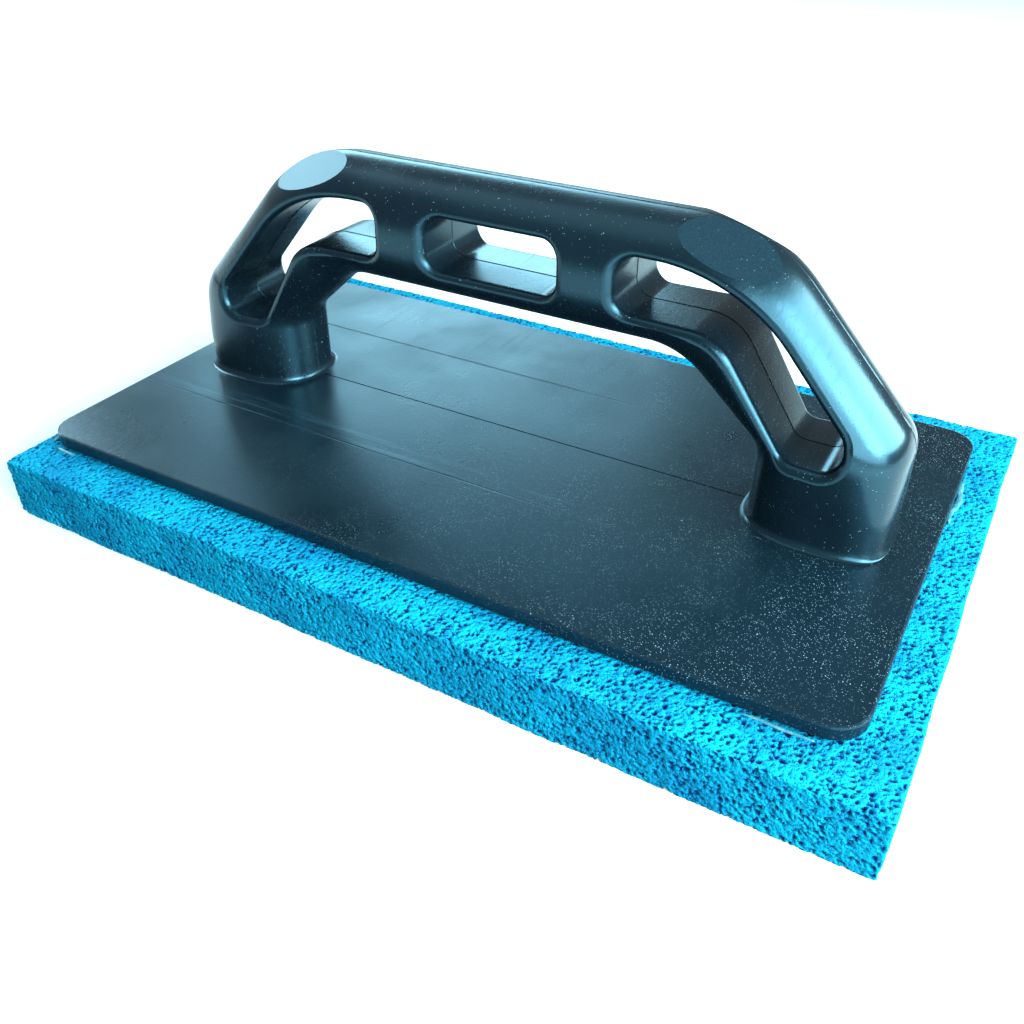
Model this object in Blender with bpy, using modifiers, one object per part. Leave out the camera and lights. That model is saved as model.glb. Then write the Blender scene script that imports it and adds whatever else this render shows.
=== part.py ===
"""Sponge-faced hand float: a slotted bow handle on a flat plate, with a sponge pad glued under it.

Frame: metres, +Z up. The origin is the centre of the sponge's underside, and +X runs along the
handle.
"""
import math

import bmesh
import bpy
from mathutils import Vector

# ---- driving dimensions (metres) ----
FIT_GAP = 0.0003                # clearance left where two pieces touch

PAD_LENGTH = 0.280
PAD_WIDTH = 0.180
PAD_THICKNESS = 0.020
PAD_EDGE = 0.0008               # worn edge of the cut sponge

FILM_THICKNESS = 0.0004
FILM_INSET = 0.003              # the adhesive stops short of the plate's edge

PLATE_LENGTH = 0.265
PLATE_WIDTH = 0.150
PLATE_THICKNESS = 0.0045
PLATE_CORNER = 0.0095
PLATE_EDGE = 0.0007
PLATE_X = -0.0038               # the plate is glued on a little off the sponge's centre
PLATE_Y = -0.0010
LINE_WIDTH = 0.0005             # fine mould line between the two feet
LINE_DEPTH = 0.0003

HANDLE_Y = 0.0025               # the handle's middle plane, from the plate's centre line
HANDLE_HALF = 0.1212            # from the handle's middle to the outer side of a foot
HANDLE_HEIGHT = 0.0812          # above the plate
HANDLE_DEPTH = 0.034            # across the grip, along Y
GRIP_UNDERSIDE = 0.0454         # above the plate
SHOULDER_X = 0.0748             # where the grip's top would meet the leg's outer line
OUTER_KNEE_Z = 0.0322           # where the leg's outer line meets the foot's side
KNEE_RADIUS = 0.013
SHOULDER_RADIUS = 0.046
ARMPIT_X = 0.056                # where the grip's underside would meet the leg's inner line
ARMPIT_RADIUS = 0.024
INNER_KNEE_Z = 0.0237
INNER_KNEE_RADIUS = 0.009
FOOT_LENGTH = 0.0405            # along X
FOOT_DEPTH = 0.033              # along Y
FOOT_BLEND_TOP = 0.036          # the grip's section turns into the foot's between these heights
FOOT_BLEND_END = 0.012
GRIP_POWER = 2.05               # how square the outer half of a section is; 2 is an ellipse
FOOT_POWER = 3.4
INNER_POWER = 2.5               # and its inner half
FLARE_HEIGHT = 0.0026
FLARE_REACH = 0.0019            # at the foot's inner side, front and back
FLARE_OUTER_REACH = 0.0007      # and at its outer side
FACET_POINT = (0.0668, 0.0079, 0.0752)      # a point on each shoulder's flat, from the handle's middle
FACET_NORMAL = (0.253, 0.500, 0.828)        # outward, towards the leg's end and the handle's side
FACET_BLOCK = 0.05                          # side of the block that cuts a flat

SLOT_FLOOR = 0.0551
SLOT_TOP = 0.0706
SLOT_DRAFT = 0.0002             # each slot is this much larger at the faces than at the middle
RIM_RADIUS = 0.0032             # rounding of a slot's rim
RIM_INSET = 0.0002              # the rounding ends this far inside the grip's full depth
RIM_MOUTH = 0.0030              # the cutter flares on past the face by this much
RIM_MOUTH_SPREAD = 0.0060       # and it is this much wider there
MIDDLE_SLOT_HALF = 0.0214
SLOT_END_RADIUS = 0.0054
END_SLOT_INNER_X = 0.0392       # the bent slots, from the handle's middle
END_SLOT_BEND = (0.0695, SLOT_FLOOR, 0.0150)        # x, z, radius of each corner
END_SLOT_TIP_INNER = (0.0905, 0.0240, 0.0050)
END_SLOT_TIP_OUTER = (0.1052, 0.0240, 0.0055)
END_SLOT_OUTER_SIDE = (0.1052, 0.0330, 0.0080)
END_SLOT_SHOULDER = (0.0715, SLOT_TOP, 0.0500)

CORE_WALL = 0.0034              # wall left around the hollow under each foot
CORE_HEIGHT = 0.0140
CORE_FILLET = 0.0015            # height of the rounding under the hollow's roof
CORE_DRAFT = 0.0006             # how far the hollow narrows up to there
CORE_ROOF_INSET = 0.0022        # and at the roof
CORE_EXPONENT = 0.75            # squareness of the hollow's outline; 1 is an ellipse
POST_DIAMETER = 0.0110
PILOT_DIAMETER = 0.0048
PILOT_HEIGHT = 0.0165
OVERCUT = 0.0020                # cutters run this far past a face
MERGE_DISTANCE = 0.00001

SCREW_LENGTH = 0.019
SCREW_HEAD_DIAMETER = 0.0088
SCREW_CORE_DIAMETER = 0.0030
SCREW_THREAD_DIAMETER = 0.0041
SCREW_PITCH = 0.0018
SCREW_RIM = 0.0003              # straight edge of the head
SCREW_TIP_RADIUS = 0.0004
SCREW_RUN_IN = 3                # rows over which the thread rises, below the head
SCREW_RUN_OUT = 6               # rows over which it tapers to the tip
RECESS_SIZE = (0.0046, 0.0010, 0.0032)      # each arm of the cross recess, half of its height cut
SCREW_HOLE_DIAMETER = 0.0052    # clearance hole in the plate

# ---- derived places ----
FILM_Z = PAD_THICKNESS + FIT_GAP
PLATE_Z = FILM_Z + FILM_THICKNESS + FIT_GAP
PLATE_TOP = PLATE_Z + PLATE_THICKNESS
HANDLE_CENTRE = Vector((PLATE_X, PLATE_Y + HANDLE_Y, PLATE_TOP))
FOOT_CENTRE_X = HANDLE_HALF - FOOT_LENGTH / 2

# ---- fineness ----
RING_POINTS = 32
SIDE_LINE_COUNTS = (4, 6, 4, 4, 3)          # straight, arc, straight, arc, straight
FLARE_STEPS = 4
OUTLINE_ARC_STEPS = 5
RIM_STEPS = 4
RIM_STEP_ANGLE = math.radians(20)
CORNER_SEGMENTS = 6
HOLE_SIDES = 24
POST_SIDES = 24
PILOT_SIDES = 20
THREAD_SIDES = 16
THREAD_ROWS_PER_TURN = 4
SMOOTH_ANGLE = math.radians(40)
SCREW_SMOOTH_ANGLE = math.radians(35)
BEVEL_ANGLE = math.radians(50)


# ---- general helpers ----
def clear_scene():
    for item in list(bpy.data.objects):
        bpy.data.objects.remove(item, do_unlink=True)


def new_collection(name):
    collection = bpy.data.collections.new(name)
    bpy.context.scene.collection.children.link(collection)
    return collection


def new_material(name, colour, roughness, metallic=0.0):
    material = bpy.data.materials.new(name)
    material.use_nodes = True
    shader = material.node_tree.nodes["Principled BSDF"]
    shader.inputs["Base Color"].default_value = (*colour, 1.0)
    shader.inputs["Roughness"].default_value = roughness
    shader.inputs["Metallic"].default_value = metallic
    return material


def object_from_bmesh(name, bm, collection, material=None):
    bmesh.ops.recalc_face_normals(bm, faces=bm.faces)
    mesh = bpy.data.meshes.new(name)
    bm.to_mesh(mesh)
    bm.free()
    item = bpy.data.objects.new(name, mesh)
    collection.objects.link(item)
    if material is None:
        item.hide_render = True
        item.display_type = 'WIRE'
    else:
        mesh.materials.append(material)
    return item


def smooth(item, angle=SMOOTH_ANGLE):
    item.data.shade_smooth()
    item.data.set_sharp_from_angle(angle=angle)


def side_name(side):
    return "right" if side > 0 else "left"


def box_mesh(length, width, height):
    """A box about its own middle."""
    bm = bmesh.new()
    bmesh.ops.create_cube(bm, size=1.0)
    bmesh.ops.scale(bm, verts=bm.verts, vec=(length, width, height))
    return bm


def cut(item, cutter):
    modifier = item.modifiers.new(cutter.name, 'BOOLEAN')
    modifier.operation = 'DIFFERENCE'
    modifier.solver = 'EXACT'
    modifier.object = cutter


def rounded_outline(corners, steps):
    """A closed outline through corners of (x, z, radius), each rounded by an arc."""
    points = []
    for index, (x, z, radius) in enumerate(corners):
        corner = Vector((x, z))
        before = (Vector(corners[index - 1][:2]) - corner).normalized()
        after = (Vector(corners[(index + 1) % len(corners)][:2]) - corner).normalized()
        points += corner_arc(corner, before, after, radius, steps)
    return points


def corner_arc(corner, before, after, radius, steps):
    """Points on the arc of that radius that touches both directions out of a corner."""
    half = before.angle(after) / 2
    centre = corner + (before + after).normalized() * (radius / math.sin(half))
    first = corner + before * (radius / math.tan(half)) - centre
    turn = first.angle_signed(corner + after * (radius / math.tan(half)) - centre)
    arc = []
    for step in range(steps + 1):
        angle = -turn * step / steps
        cosine, sine = math.cos(angle), math.sin(angle)
        arc.append(centre + Vector((first.x * cosine - first.y * sine, first.x * sine + first.y * cosine)))
    return arc


def grown(outline, offset):
    """The outline moved outward by offset. It runs anticlockwise."""
    moved = []
    for index, point in enumerate(outline):
        along = (outline[(index + 1) % len(outline)] - outline[index - 1]).normalized()
        moved.append(point + Vector((along.y, -along.x)) * offset)
    return moved


def loft(rings):
    """A mesh through closed rings of equal length, with a flat cap on each end."""
    bm = bmesh.new()
    rows = [[bm.verts.new(point) for point in ring] for ring in rings]
    count = len(rings[0])
    for lower, upper in zip(rows, rows[1:]):
        for index in range(count):
            following = (index + 1) % count
            bm.faces.new((lower[index], lower[following], upper[following], upper[index]))
    bm.faces.new(list(reversed(rows[0])))
    bm.faces.new(rows[-1])
    return bm


# ---- handle ----
def super_ring(inner, outer, half_depth, inner_power, outer_power):
    """A rounded section between an inner and an outer point of the handle's side view."""
    middle = (inner + outer) / 2
    reach = (outer - inner) / 2
    ring = []
    for index in range(RING_POINTS):
        angle = 2 * math.pi * index / RING_POINTS
        cosine, sine = math.cos(angle), math.sin(angle)
        power = 2 / (outer_power if cosine > 0 else inner_power)
        along = math.copysign(abs(cosine) ** power, cosine)
        across = math.copysign(abs(sine) ** power, sine)
        point = middle + reach * along
        ring.append(Vector((point.x, across * half_depth, point.y)))
    return ring


def side_line(corners):
    """One long side of the handle's side view: straights joined by arcs, with set point counts."""
    counts = SIDE_LINE_COUNTS
    points = []
    cursor = Vector(corners[0][:2])
    for index in range(1, len(corners) - 1):
        corner = Vector(corners[index][:2])
        before = (Vector(corners[index - 1][:2]) - corner).normalized()
        after = (Vector(corners[index + 1][:2]) - corner).normalized()
        arc = corner_arc(corner, before, after, corners[index][2], counts[2 * index - 1])
        straight = counts[2 * index - 2]
        points += [cursor.lerp(arc[0], step / straight) for step in range(straight)]
        points += arc[:-1]
        cursor = arc[-1]
    last = Vector(corners[-1][:2])
    points += [cursor.lerp(last, step / counts[-1]) for step in range(counts[-1] + 1)]
    return points


def half_handle_rings():
    """Sections from the grip's middle down to the foot, on the +X side."""
    inner_x = HANDLE_HALF - FOOT_LENGTH
    outer = side_line([(0, HANDLE_HEIGHT), (SHOULDER_X, HANDLE_HEIGHT, SHOULDER_RADIUS),
                       (HANDLE_HALF, OUTER_KNEE_Z, KNEE_RADIUS), (HANDLE_HALF, FLARE_HEIGHT)])
    inner = side_line([(0, GRIP_UNDERSIDE), (ARMPIT_X, GRIP_UNDERSIDE, ARMPIT_RADIUS),
                       (inner_x, INNER_KNEE_Z, INNER_KNEE_RADIUS), (inner_x, FLARE_HEIGHT)])
    rings = []
    for low, high in zip(inner, outer):
        foot_share = min(1.0, max(0.0, (FOOT_BLEND_TOP - high.y) / (FOOT_BLEND_TOP - FOOT_BLEND_END)))
        depth = HANDLE_DEPTH + (FOOT_DEPTH - HANDLE_DEPTH) * foot_share
        outer_power = GRIP_POWER + (FOOT_POWER - GRIP_POWER) * foot_share
        rings.append(super_ring(low, high, depth / 2, INNER_POWER, outer_power))
    for step in range(1, FLARE_STEPS + 1):
        angle = math.pi / 2 * step / FLARE_STEPS
        spread = 1 - math.cos(angle)
        reach = FLARE_REACH * spread
        height = FLARE_HEIGHT * (1 - math.sin(angle)) + FIT_GAP
        low = Vector((inner_x - reach, height))
        high = Vector((HANDLE_HALF + FLARE_OUTER_REACH * spread, height))
        rings.append(super_ring(low, high, FOOT_DEPTH / 2 + reach, INNER_POWER, FOOT_POWER))
    return rings


def slot_cutter(name, outline, collection):
    """A through-slot that narrows to its middle and opens out at both faces like a rounded rim."""
    face = HANDLE_DEPTH / 2 - RIM_INSET
    levels = [(0.0, 0.0), (face - RIM_RADIUS, SLOT_DRAFT)]
    for step in range(1, RIM_STEPS + 1):
        angle = RIM_STEP_ANGLE * step
        depth = face - RIM_RADIUS * (1 - math.sin(angle))
        levels.append((depth, SLOT_DRAFT + RIM_RADIUS * (1 - math.cos(angle))))
    levels.append((face + RIM_MOUTH, SLOT_DRAFT + RIM_MOUTH_SPREAD))
    levels = [(-depth, offset) for depth, offset in reversed(levels[1:])] + levels
    rings = []
    for depth, offset in levels:
        rings.append([Vector((point.x, depth, point.y)) for point in grown(outline, offset)])
    cutter = object_from_bmesh(name, loft(rings), collection)
    cutter.location = HANDLE_CENTRE
    return cutter


def middle_slot_outline():
    """The straight slot in the grip, at the middle plane, anticlockwise from its lower left corner."""
    half, radius = MIDDLE_SLOT_HALF, SLOT_END_RADIUS
    corners = [(-half, SLOT_FLOOR, radius), (half, SLOT_FLOOR, radius),
               (half, SLOT_TOP, radius), (-half, SLOT_TOP, radius)]
    return rounded_outline(corners, OUTLINE_ARC_STEPS)


def end_slot_outline():
    """The bent slot in the +X leg, at the middle plane, anticlockwise from its lower left corner."""
    corners = [(END_SLOT_INNER_X, SLOT_FLOOR, SLOT_END_RADIUS), END_SLOT_BEND,
               END_SLOT_TIP_INNER, END_SLOT_TIP_OUTER, END_SLOT_OUTER_SIDE,
               END_SLOT_SHOULDER, (END_SLOT_INNER_X, SLOT_TOP, SLOT_END_RADIUS)]
    return rounded_outline(corners, OUTLINE_ARC_STEPS)


def mirrored(outline):
    return [Vector((-point.x, point.y)) for point in reversed(outline)]


def facet_cutter(side, face, collection):
    """A block whose lower face is the flat on one shoulder, on one face of the handle."""
    mirror = Vector((side, face, 1))
    bm = box_mesh(FACET_BLOCK, FACET_BLOCK, FACET_BLOCK)
    bmesh.ops.translate(bm, verts=bm.verts, vec=(0, 0, FACET_BLOCK / 2))
    name = "facet_cut_" + side_name(side) + ("_back" if face > 0 else "_front")
    cutter = object_from_bmesh(name, bm, collection)
    cutter.rotation_mode = 'QUATERNION'
    cutter.rotation_quaternion = Vector((0, 0, 1)).rotation_difference(Vector(FACET_NORMAL) * mirror)
    cutter.location = HANDLE_CENTRE + Vector(FACET_POINT) * mirror
    return cutter


def core_cutter(side, collection):
    """The hollow under a foot, around its screw post."""
    half_x = FOOT_LENGTH / 2 - CORE_WALL
    half_y = FOOT_DEPTH / 2 - CORE_WALL
    levels = ((-OVERCUT, 0.0), (CORE_HEIGHT - CORE_FILLET, CORE_DRAFT), (CORE_HEIGHT, CORE_ROOF_INSET))
    rings = []
    for height, inset in levels:
        ring = []
        for index in range(RING_POINTS):
            angle = 2 * math.pi * index / RING_POINTS
            cosine, sine = math.cos(angle), math.sin(angle)
            x = math.copysign(abs(cosine) ** CORE_EXPONENT, cosine) * (half_x - inset)
            y = math.copysign(abs(sine) ** CORE_EXPONENT, sine) * (half_y - inset)
            ring.append(Vector((x, y, height)))
        rings.append(ring)
    core = object_from_bmesh("core_cut_" + side_name(side), loft(rings), collection)
    core.location = HANDLE_CENTRE + Vector((side * FOOT_CENTRE_X, 0, 0))
    post_height = 2 * (CORE_HEIGHT + OVERCUT)
    post = cylinder("post_keep_" + side_name(side), POST_DIAMETER, post_height, POST_SIDES, collection)
    post.location = core.location
    cut(core, post)
    return core


def cylinder(name, diameter, height, sides, collection):
    bm = bmesh.new()
    bmesh.ops.create_cone(bm, cap_ends=True, segments=sides, radius1=diameter / 2,
                          radius2=diameter / 2, depth=height)
    return object_from_bmesh(name, bm, collection)


def build_handle(parts, cutters):
    material = new_material("black_moulded_plastic", (0.012, 0.015, 0.018), 0.38)
    handle = object_from_bmesh("handle", loft(whole_handle_rings()), parts, material)
    handle.location = HANDLE_CENTRE
    cut(handle, slot_cutter("middle_slot_cut", middle_slot_outline(), cutters))
    right_outline = end_slot_outline()
    cut(handle, slot_cutter("right_slot_cut", right_outline, cutters))
    cut(handle, slot_cutter("left_slot_cut", mirrored(right_outline), cutters))
    for side in (-1, 1):
        for face in (-1, 1):
            cut(handle, facet_cutter(side, face, cutters))
        cut(handle, core_cutter(side, cutters))
        pilot = cylinder("pilot_cut_" + side_name(side), PILOT_DIAMETER, 2 * PILOT_HEIGHT,
                         PILOT_SIDES, cutters)
        pilot.location = HANDLE_CENTRE + Vector((side * FOOT_CENTRE_X, 0, 0))
        cut(handle, pilot)
    smooth(handle)
    return handle


def whole_handle_rings():
    """Sections from one foot, over the grip, to the other foot."""
    right = half_handle_rings()
    left = []
    for ring in reversed(right[1:]):
        left.append([Vector((-point.x, point.y, point.z)) for point in ring])
    return left + right


# ---- plate, adhesive and sponge ----
def slab(name, length, width, thickness, corner, collection, material):
    """A flat plate with rounded corners, standing on its own z = 0."""
    bm = box_mesh(length, width, thickness)
    bmesh.ops.translate(bm, verts=bm.verts, vec=(0, 0, thickness / 2))
    upright = [edge for edge in bm.edges if edge.verts[0].co.z != edge.verts[1].co.z]
    bmesh.ops.bevel(bm, geom=upright, offset=corner, segments=CORNER_SEGMENTS, profile=0.5, affect='EDGES')
    return object_from_bmesh(name, bm, collection, material)


def add_bevel(item, width, segments=2):
    modifier = item.modifiers.new("Edge", 'BEVEL')
    modifier.width = width
    modifier.segments = segments
    modifier.limit_method = 'ANGLE'
    modifier.angle_limit = BEVEL_ANGLE


def build_plate(parts, cutters):
    material = new_material("black_plate_plastic", (0.014, 0.017, 0.020), 0.45)
    plate = slab("base_plate", PLATE_LENGTH, PLATE_WIDTH, PLATE_THICKNESS, PLATE_CORNER, parts, material)
    plate.location = (PLATE_X, PLATE_Y, PLATE_Z)
    add_bevel(plate, PLATE_EDGE)
    for side in (-1, 1):
        hole = countersunk_cutter("screw_hole_" + side_name(side), cutters)
        hole.location = (PLATE_X + side * FOOT_CENTRE_X, PLATE_Y + HANDLE_Y, PLATE_Z)
        cut(plate, hole)
    line_length = 2 * (FOOT_CENTRE_X - FOOT_LENGTH / 2 - FLARE_REACH)
    line = object_from_bmesh("mould_line_cut", box_mesh(line_length, LINE_WIDTH, 2 * LINE_DEPTH), cutters)
    line.location = HANDLE_CENTRE
    cut(plate, line)
    smooth(plate)
    return plate


def countersunk_cutter(name, collection):
    """A clearance hole, opened out below to take a screw's head."""
    head = SCREW_HEAD_DIAMETER / 2 + FIT_GAP
    hole = SCREW_HOLE_DIAMETER / 2
    sink_start = 2 * FIT_GAP
    sink_end = sink_start + head - hole
    profile = [(0, -OVERCUT), (head, -OVERCUT), (head, sink_start), (hole, sink_end),
               (hole, PLATE_THICKNESS + OVERCUT), (0, PLATE_THICKNESS + OVERCUT)]
    return turned(name, profile, HOLE_SIDES, collection)


def turned(name, profile, sides, collection):
    """A profile of (radius, height) turned about Z."""
    mesh = bpy.data.meshes.new(name)
    mesh.from_pydata([(radius, 0, height) for radius, height in profile],
                     [(index, index + 1) for index in range(len(profile) - 1)], [])
    item = bpy.data.objects.new(name, mesh)
    collection.objects.link(item)
    item.hide_render = True
    item.display_type = 'WIRE'
    modifier = item.modifiers.new("Turn", 'SCREW')
    modifier.steps = sides
    modifier.render_steps = sides
    modifier.use_merge_vertices = True
    modifier.merge_threshold = MERGE_DISTANCE
    modifier.use_normal_calculate = True
    return item


def build_film(parts):
    material = new_material("contact_adhesive", (0.72, 0.78, 0.70), 0.5)
    film = slab("adhesive_film", PLATE_LENGTH - 2 * FILM_INSET, PLATE_WIDTH - 2 * FILM_INSET,
                FILM_THICKNESS, PLATE_CORNER - FILM_INSET, parts, material)
    film.location = (PLATE_X, PLATE_Y, FILM_Z)
    return film


def build_pad(parts):
    material = new_material("blue_sponge_rubber", (0.0, 0.45, 0.72), 0.85)
    bm = box_mesh(PAD_LENGTH, PAD_WIDTH, PAD_THICKNESS)
    bmesh.ops.translate(bm, verts=bm.verts, vec=(0, 0, PAD_THICKNESS / 2))
    pad = object_from_bmesh("sponge_pad", bm, parts, material)
    add_bevel(pad, PAD_EDGE, segments=1)
    return pad


# ---- screws ----
def screw_rings():
    """A countersunk head and a tapered, helical thread, point up."""
    head = SCREW_HEAD_DIAMETER / 2
    core = SCREW_CORE_DIAMETER / 2
    crest = SCREW_THREAD_DIAMETER / 2 - core
    cone = head - core
    angles = [2 * math.pi * index / THREAD_SIDES for index in range(THREAD_SIDES)]
    rings = []
    for height in (0, SCREW_RIM):
        rings.append([Vector((head * math.cos(a), head * math.sin(a), height)) for a in angles])
    row_height = SCREW_PITCH / THREAD_ROWS_PER_TURN
    start = SCREW_RIM + cone
    rows = int((SCREW_LENGTH - start) / row_height)
    for row in range(rows + 1):
        height = start + row * row_height
        taper = min(1.0, (rows - row) / SCREW_RUN_OUT)
        ring = []
        for index, angle in enumerate(angles):
            phase = (height / SCREW_PITCH - index / THREAD_SIDES) % 1.0
            ridge = crest * (1 - 2 * abs(phase - 0.5)) ** 2 * min(1.0, row / SCREW_RUN_IN)
            radius = SCREW_TIP_RADIUS + (core + ridge - SCREW_TIP_RADIUS) * taper
            ring.append(Vector((radius * math.cos(angle), radius * math.sin(angle), height)))
        rings.append(ring)
    return rings


def build_screw(side, parts, cutters):
    label = side_name(side)
    material = new_material("zinc_plated_steel_" + label, (0.62, 0.60, 0.52), 0.32, 1.0)
    screw = object_from_bmesh("handle_screw_" + label, loft(screw_rings()), parts, material)
    base = Vector((PLATE_X + side * FOOT_CENTRE_X, PLATE_Y + HANDLE_Y, PLATE_Z + FIT_GAP))
    screw.location = base
    for turn, word in ((0, "a"), (math.pi / 2, "b")):
        recess = object_from_bmesh("recess_cut_" + label + "_" + word, box_mesh(*RECESS_SIZE), cutters)
        recess.rotation_euler = (0, 0, turn)
        recess.location = base
        cut(screw, recess)
    smooth(screw, SCREW_SMOOTH_ANGLE)
    return screw


def main():
    clear_scene()
    parts = new_collection("sponge_hand_float")
    cutters = new_collection("cutters")
    build_pad(parts)
    build_film(parts)
    build_plate(parts, cutters)
    build_handle(parts, cutters)
    for side in (-1, 1):
        build_screw(side, parts, cutters)


main()
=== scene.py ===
"""Looks of the sponge-faced hand float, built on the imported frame.

Metres, +Z up. The origin is the centre of the sponge's underside and +X runs along the handle.
"""
import math

import bmesh
import bpy
import numpy as np
from mathutils import Matrix, Vector, noise
from mathutils.bvhtree import BVHTree


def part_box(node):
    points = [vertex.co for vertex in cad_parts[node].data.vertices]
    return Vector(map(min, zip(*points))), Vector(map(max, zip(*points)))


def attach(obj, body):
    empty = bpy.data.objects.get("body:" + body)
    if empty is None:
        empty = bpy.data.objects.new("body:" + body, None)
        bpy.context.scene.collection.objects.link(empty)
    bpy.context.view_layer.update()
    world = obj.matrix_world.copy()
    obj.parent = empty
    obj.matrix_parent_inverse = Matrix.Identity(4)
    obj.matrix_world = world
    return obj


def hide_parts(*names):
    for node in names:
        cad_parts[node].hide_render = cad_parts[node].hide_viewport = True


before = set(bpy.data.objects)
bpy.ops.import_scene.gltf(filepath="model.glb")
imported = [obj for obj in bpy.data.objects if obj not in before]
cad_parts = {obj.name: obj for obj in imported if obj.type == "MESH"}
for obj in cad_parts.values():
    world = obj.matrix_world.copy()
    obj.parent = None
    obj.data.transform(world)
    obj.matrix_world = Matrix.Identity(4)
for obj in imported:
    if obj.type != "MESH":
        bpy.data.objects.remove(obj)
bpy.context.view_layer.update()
NOISE_SEED = 7
noise.seed_set(NOISE_SEED)      # without a seed, noise_vector changes with the clock

# ---- places from the frame ----
PAD_LOW, PAD_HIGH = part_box("sponge_pad")
PLATE_LOW, PLATE_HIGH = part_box("base_plate")
HANDLE_LOW, HANDLE_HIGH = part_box("handle")
HANDLE_CENTRE = Vector(((HANDLE_LOW.x + HANDLE_HIGH.x) / 2,
                        (HANDLE_LOW.y + HANDLE_HIGH.y) / 2, PLATE_HIGH.z))

# ---- the handle's dimensions, from its middle at the plate's top ----
FOOT_SEAT = 0.00002             # the feet sit on the plate with no gap to be seen
HANDLE_HEIGHT = HANDLE_HIGH.z - PLATE_HIGH.z
FLARE_REACH = 0.0019            # the feet spread by this much at the plate
FLARE_OUTER_REACH = 0.0007      # and by this much at their outer ends
FLARE_HEIGHT = 0.0026
HANDLE_HALF = (HANDLE_HIGH.x - HANDLE_LOW.x) / 2 - FLARE_OUTER_REACH
HANDLE_DEPTH = 0.034
GRIP_UNDERSIDE = 0.0454
SHOULDER_X = 0.0748
SHOULDER_RADIUS = 0.046
OUTER_KNEE_Z = 0.0322
KNEE_RADIUS = 0.013
ARMPIT_X = 0.056
ARMPIT_RADIUS = 0.024
INNER_KNEE_Z = 0.0237
INNER_KNEE_RADIUS = 0.009
FOOT_LENGTH = 0.0405
FOOT_DEPTH = 0.033
FOOT_BLEND_TOP = 0.036          # the section turns from the grip's to the foot's between these heights
FOOT_BLEND_END = 0.012
GRIP_POWER = 2.05               # of the sections: 2 is an ellipse, more is squarer
FOOT_POWER = 3.4
INNER_POWER = 2.5
FACET_POINT = Vector((0.0668, 0.0079, 0.0752))      # on one of the shoulders' four flats
FACET_NORMAL = Vector((0.253, 0.500, 0.828))
FACET_BLOCK = 0.05              # edge of the cube that cuts a flat
FLAT_TOLERANCE = 0.00001        # a face this near to a flat's plane is part of it
FLAT_FACING = 0.999             # if its normal also follows the flat's, as a cosine
SLOT_FLOOR = 0.0551
SLOT_TOP = 0.0706
SLOT_DRAFT = 0.0002             # a slot is this much wider where its rim starts
RIM_RADIUS = 0.0032
RIM_OVERRUN = 0.0012            # the slots' cutters run this far out of the handle
MIDDLE_SLOT_HALF = 0.0214
SLOT_END_RADIUS = 0.0054
END_SLOT_INNER_X = 0.0392
END_SLOT_BEND = (0.0695, SLOT_FLOOR, 0.0150)        # corners of an end slot: X, height, radius
END_SLOT_TIP_INNER = (0.0905, 0.0240, 0.0050)
END_SLOT_TIP_OUTER = (0.1052, 0.0240, 0.0055)
END_SLOT_OUTER_SIDE = (0.1052, 0.0330, 0.0080)
END_SLOT_SHOULDER = (0.0715, SLOT_TOP, 0.0500)
CORE_DEPTH = 0.0140             # the feet are hollow below
CORE_WALL = 0.0034
POST_DIAMETER = 0.0110

# ---- fineness of the handle ----
RING_POINTS = 112
SIDE_LINE_COUNTS = (22, 16, 26, 14, 16)     # points on a side's straights and arcs, by turns
FLARE_STEPS = 8
ARC_STEPS = 12
RIM_STEPS = 9
RIM_TURN = math.radians(84)
CORE_SEGMENTS = 48
SHARP_ANGLE = math.radians(28)

# ---- moulding marks ----
SEAM_HALF = 0.00022             # half width of the parting line's ridge
SEAM_HEIGHT = 0.00016
SEAM_NOISE = 420                # per metre, how fast the ridge's height changes along it
SEAM_MEAN = 0.55                # of its full height, with a swing of this much either way
SEAM_SWING = 0.9
SEAM_LEAST = 0.1
SEAM_POINTS = (0.6, 1.3)        # extra points of every section, in half widths of the ridge
FAINT_LINE_Y = (0.036, -0.033)  # faint lines on the plate, behind and in front of the handle
FAINT_LINE_EDGES = (0.00045, 0.00010)       # from the middle: outside and inside a faint line
FAINT_LINE_END = 0.040          # they fade out towards this X
FAINT_LINE_FADE = 0.09
SCUFF_Y = -0.029                # middle of a scuffed band beside the front line
SCUFF_EDGES = (0.0060, 0.0010)
SCUFF_FADE = (FAINT_LINE_END + 0.03, FAINT_LINE_END - 0.05)

# ---- sponge ----
SPONGE_GRID = 0.0020
SPONGE_SIDE_CUTS = 4            # the seen faces are cut finer than the rest
SPONGE_BOTTOM_CUTS = 1
SPONGE_COVERED = 0.012          # the top is plain from this far inside the plate's edge
PORE_SPACING = 0.00150
PORE_DEPTH = 0.00100
PIT_SPACING = 0.00080
PIT_DEPTH = 0.00030
FRAY_SPACING = 0.00075          # torn cell walls stand up and down by this much, this far apart
FRAY_HEIGHT = 0.00022
SPONGE_EDGE = 0.0007            # rounding of the worn edges
CUT_WANDER = 0.00055            # the knife wandered this much along the sides
CUT_WAVELENGTH = 0.022
PORE_SEED = 11.0
PIT_SEED = 47.0
PIT_SHADE = 0.55                # painted shade of a pit, as a share of a pore's
PORE_WOBBLE = 0.34              # the cells are bent by this share of their spacing
PORE_WOBBLE_RATE = 1.3
# A wall is where the two nearest cell centres are about equally far, to within this many spacings.
WALL_LEAST = 0.07
WALL_SWING = 0.55
WALL_RATE = 3.7
PORE_SLOPE = 0.34               # a further difference of this much makes a pore's full depth

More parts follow.
